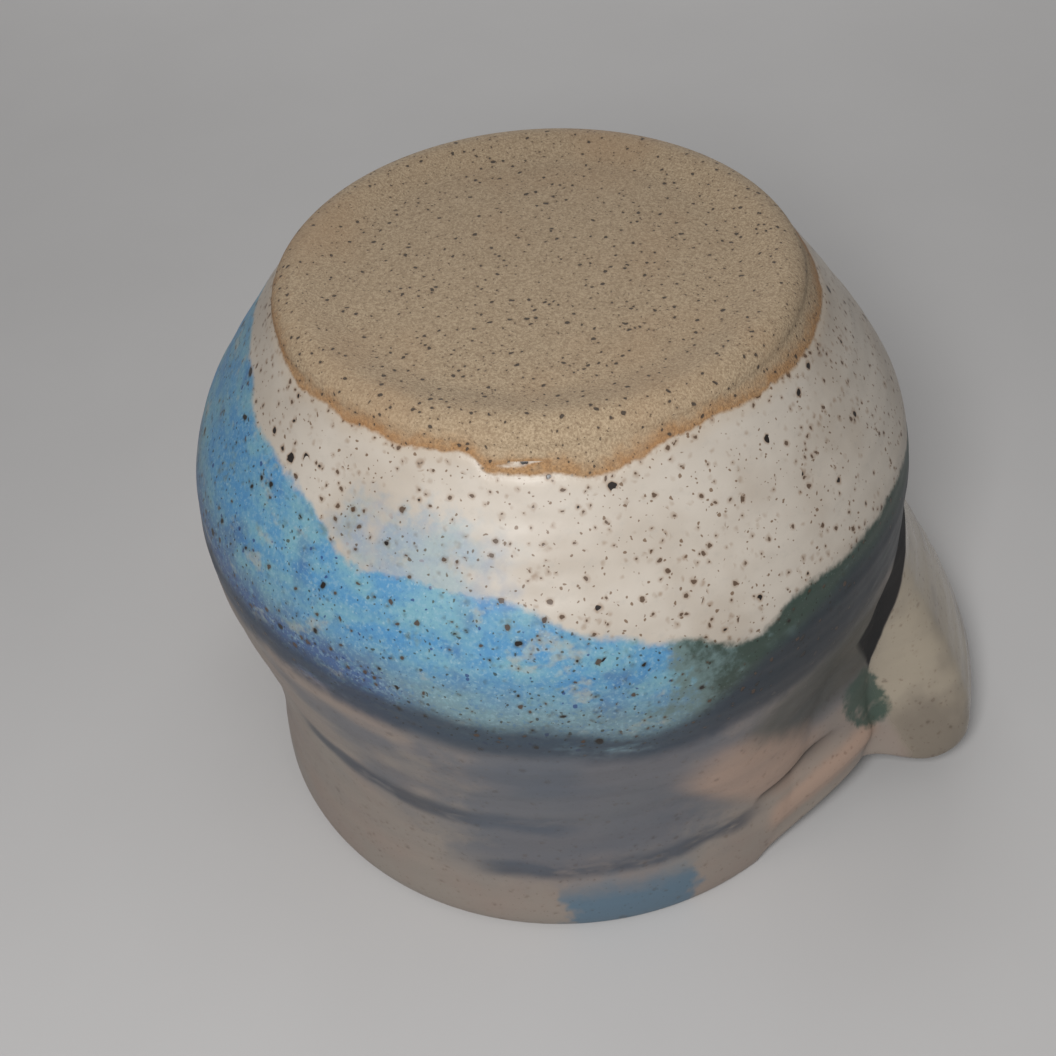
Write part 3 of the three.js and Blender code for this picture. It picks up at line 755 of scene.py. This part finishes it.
    # Painted shadow: the fold between the belly and the spout's near side is painted black where the belly's shadow
    # falls
    fold_shadow_slope = n.minus(n.plus(71.6, n.times(aside, 0.9)), below)
    fold_shadow_top = n.plus(n.minus(n.minus(FOLD_SHADOW_TOP, beyond), below), n.times(coarse, waver))
    fold_shadow_side = n.plus(n.plus(aside, 18.7), n.times(below, 0.205))
    fold_shadow = n.times(n.smooth(inward, 0.7, -0.5), n.smooth(fold_shadow_slope, -1.0, 0.6))
    fold_shadow = n.times(fold_shadow, n.smooth(fold_shadow_top, -2.5, 2.5))
    fold_shadow = n.times(fold_shadow, n.smooth(fold_shadow_side, -0.9, 0.5))
    fold_shadow = n.times(fold_shadow, n.smooth(aside, 16.0, -2.0))
    glaze = n.mix(n.times(fold_shadow, 0.95), glaze, FOLD_SHADOW_BLACK)
    dab_out = n.plus(oval(n, aside, below, DAB_AT, DAB_HALF, n.times(coarse, 4.0)), n.times(fine, 0.8))
    dab = n.times(n.smooth(dab_out, 1.25, 0.7), n.smooth(n.noise(5, 3, shift=(0.2, 0.2, 0)), 0.2, 0.42))
    glaze = n.mix(n.times(dab, 0.9), glaze, DAB_GREEN)
    # Painted shade: the finger's crease beside the spout is darkened
    glaze = n.mix(n.times(n.field("crease"), 0.85), glaze, CREASE_SHADE)

    # Iron specks that melt into the glaze
    clump = n.plus(n.smooth(n.noise(8, 2, shift=(0.6, 0.3, 0)), 0.38, 0.66), n.smooth(coat, 4.0, 0.5))
    clump = n.times(clump, n.minus(1.0, n.times(over, 0.6)))
    big, big_halo = n.specks(2.9, 0.3, 0.8, n.plus(0.14, n.times(clump, 0.4)), (0.2, 0.1, 0))
    mid, mid_halo = n.specks(1.6, 0.22, 0.5, n.plus(0.3, n.times(clump, 0.45)), (0, 0.3, 0.1))
    tiny, _ = n.specks(1.0, 0.17, 0.34, 0.75, (0.4, 0, 0.2))
    quiet = n.minus(1.0, n.times(n.math("MAXIMUM", under, face), 0.75))
    glaze = n.mix(n.times(n.times(tiny, 0.85), quiet), glaze, TINY_RUST, "MULTIPLY")
    halo = n.math("MAXIMUM", n.times(big_halo, 0.7), n.times(mid_halo, 0.5))
    glaze = n.mix(n.times(halo, quiet), glaze, RUST, "MULTIPLY")
    glaze = n.mix(n.times(n.times(mid, 0.85), quiet), glaze, BROWN_IRON)
    glaze = n.mix(n.times(big, quiet), glaze, IRON)
    iron = n.math("MAXIMUM", big, mid)

    # Bare clay of the foot: sandy, full of specks, toasted next to the glaze
    sand = n.noise(0.4, 3, 0.7)
    clay = n.mix(n.smooth(sand, 0.34, 0.68), CLAY, CLAY_PALE)
    clay = n.mix(n.times(n.smooth(n.noise(26, 2, shift=(0.05, 0.02, 0)), 0.45, 0.7), 0.4), clay, CLAY_WARM)
    toasted = n.plus(coat, n.plus(n.times(fine, 3.5), n.times(coarse, 2.0)))
    clay = n.mix(n.times(n.smooth(toasted, -3.0, 0.3), 0.9), clay, TOAST, "MULTIPLY")
    crumbs, _ = n.specks(0.6, 0.09, 0.22, 0.75, (0, 0.6, 0))
    pit_share = n.plus(0.72, n.times(n.smooth(coat, -3.0, 0.0), 0.25))
    pits, pit_halo = n.specks(1.2, 0.16, 0.42, pit_share, (0.5, 0.2, 0))
    clay = n.mix(n.times(crumbs, 0.8), clay, CRUMB)
    clay = n.mix(n.times(pit_halo, 0.35), clay, PIT_HALO)
    clay = n.mix(n.times(pits, 0.85), clay, PIT)

    cover = n.plus(coat, n.times(fine, 0.9))
    glazed = n.smooth(cover, -0.3, 0.3)
    colour = n.mix(glazed, clay, glaze)
    satin = n.plus(0.38, n.times(n.noise(5, 3), 0.16))
    satin = n.minus(satin, n.times(iron, 0.1))
    satin = n.plus(n.minus(satin, n.times(face, 0.24)), n.times(fold_shadow, 0.4))
    roughness = n.add("ShaderNodeMix", {0: glazed, 2: 0.86, 3: satin}).outputs[0]
    grain = n.bump(n.times(n.minus(1.0, glazed), n.plus(sand, n.times(pits, -0.6))), 0.25, 0.8)
    skin = n.bump(n.plus(n.times(glazed, n.noise(2.6, 2, 0.5)), n.times(iron, -0.5)), 0.06, 0.7, grain)
    step = n.bump(n.smooth(cover, -0.4, 0.8), 0.15, 0.6, skin)
    return n.finish(Base_Color=colour, Roughness=roughness, Normal=step, IOR=GLAZE_IOR)


def handle_material():
    n = Nodes("cream_handle_glaze")
    high = n.times(n.add("ShaderNodeSeparateXYZ", {0: n.place()}).outputs[2], 1 / MM)
    cloud = n.noise(15, 3)
    cream = n.mix(n.smooth(cloud, 0.38, 0.7), CREAM, CREAM_GREY)
    pink = n.smooth(n.plus(high, n.times(cloud, 10.0)), 32.0, 22.0)
    cream = n.mix(n.times(pink, 0.5), cream, HANDLE_PINK)
    smudge, smudge_halo = n.specks(6.5, 0.3, 0.9, 0.45, (0.1, 0.3, 0))
    fine, _ = n.specks(2.6, 0.2, 0.45, 0.35, (0.3, 0, 0.1))
    cream = n.mix(n.times(fine, 0.45), cream, HANDLE_SPECK)
    cream = n.mix(n.times(smudge_halo, 0.4), cream, HANDLE_HALO)
    cream = n.mix(n.times(smudge, 0.6), cream, HANDLE_SMUDGE)
    skin = n.bump(n.noise(4.5, 2, 0.5), 0.1, 0.5)
    gloss = n.plus(0.14, n.times(n.noise(6, 2), 0.1))
    return n.finish(Base_Color=cream, Roughness=gloss, Normal=skin, IOR=GLAZE_IOR)


def floor_material():
    n = Nodes("pale_floor")
    tone = n.mix(n.noise(60, 3), FLOOR_TONE, FLOOR_PALE)
    away = n.add("ShaderNodeVectorMath", {0: n.place()}, operation="LENGTH").outputs["Value"]
    return n.finish(Base_Color=tone, Roughness=0.9, Alpha=n.smooth(away, FLOOR_FADE[1], FLOOR_FADE[0]))


body = thrown_body()
body.data.materials.append(body_material())
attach(body, "root")
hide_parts("thrown_body")

cream_glaze = handle_material()
strap = handle_strap()
neck_pad = pressed_pad("neck_pad_pressed", NECK_PAD_UP, NECK_PAD_AZIMUTH, NECK_PAD_HALF, NECK_PAD_RISE, 61, 3.0)
belly_pad = pressed_pad("belly_pad_pressed", BELLY_PAD_UP, BELLY_PAD_AZIMUTH, BELLY_PAD_HALF, BELLY_PAD_RISE, 62, 2.0)
for piece, node in ((strap, "handle_strap"), (neck_pad, "neck_joint_pad"), (belly_pad, "belly_joint_pad")):
    piece.data.materials.append(cream_glaze)
    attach(piece, "root")
    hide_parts(node)

# Floor, light and camera
floor_mesh = bpy.data.meshes.new("floor")
floor_corners = [(x * FLOOR_HALF, y * FLOOR_HALF, 0) for x, y in ((-1, -1), (1, -1), (1, 1), (-1, 1))]
floor_mesh.from_pydata(floor_corners, [], [(0, 1, 2, 3)])
floor = bpy.data.objects.new("floor", floor_mesh)
bpy.context.scene.collection.objects.link(floor)
floor_mesh.materials.append(floor_material())

to_frame = Matrix.Translation((AXIS_X * MM, 0, 0)) @ Matrix.Rotation(math.radians(90 - PHOTO_TURN), 4, "Z")
PITCH = math.radians(44.47)
ROLL = math.radians(-5.02)
FOCAL = 1450.0                   # pixels
PHOTO_SIDE = 1056.0
SENSOR = 36.0
forward = Vector((0, math.cos(PITCH), -math.sin(PITCH)))
upward = Vector((0, math.sin(PITCH), math.cos(PITCH)))
right = Vector((1, 0, 0))
DISTANCE = 2.511                 # in heights of the pitcher
OFF_MIDDLE = (27.2, 27.3)        # pixels from the picture's middle to the pitcher's
place = Vector((0, 0, 0.5)) - DISTANCE * forward - DISTANCE * OFF_MIDDLE[0] / FOCAL * right
place -= DISTANCE * OFF_MIDDLE[1] / FOCAL * upward
camera_right = right * math.cos(ROLL) + upward * math.sin(ROLL)
camera_up = upward * math.cos(ROLL) - right * math.sin(ROLL)
turn = Matrix((camera_right, camera_up, -forward)).transposed().to_4x4()
camera_data = bpy.data.cameras.new("camera")
camera_data.sensor_width = SENSOR
camera_data.lens = FOCAL / PHOTO_SIDE * SENSOR
camera_data.clip_start = 0.01
camera = bpy.data.objects.new("camera", camera_data)
camera.matrix_world = to_frame @ Matrix.Translation(place * HEIGHT * MM) @ turn
bpy.context.scene.collection.objects.link(camera)
bpy.context.scene.camera = camera


def area_light(name, position, target, size, power):
    data = bpy.data.lights.new(name, "AREA")
    data.size = size
    data.energy = power
    made = bpy.data.objects.new(name, data)
    made.visible_camera = False
    made.location = to_frame @ Vector(position)
    aim = to_frame @ Vector(target) - made.location
    made.rotation_mode = "QUATERNION"
    made.rotation_quaternion = aim.to_track_quat("-Z", "Y")
    bpy.context.scene.collection.objects.link(made)


# In metres, with the camera towards -Y
area_light("key", (-0.04, -0.22, 0.27), (0, 0, 0.05), 0.07, 0.66)
area_light("fill", (0.08, 0.95, 0.36), (0, 0.05, 0.04), 0.8, 4.2)
world = bpy.data.worlds.new("studio")
world.use_nodes = True
world.node_tree.nodes["Background"].inputs[0].default_value = (1, 1, 1, 1)
world.node_tree.nodes["Background"].inputs[1].default_value = WORLD_LIGHT
bpy.context.scene.world = world
bpy.context.scene.view_settings.view_transform = "Standard"
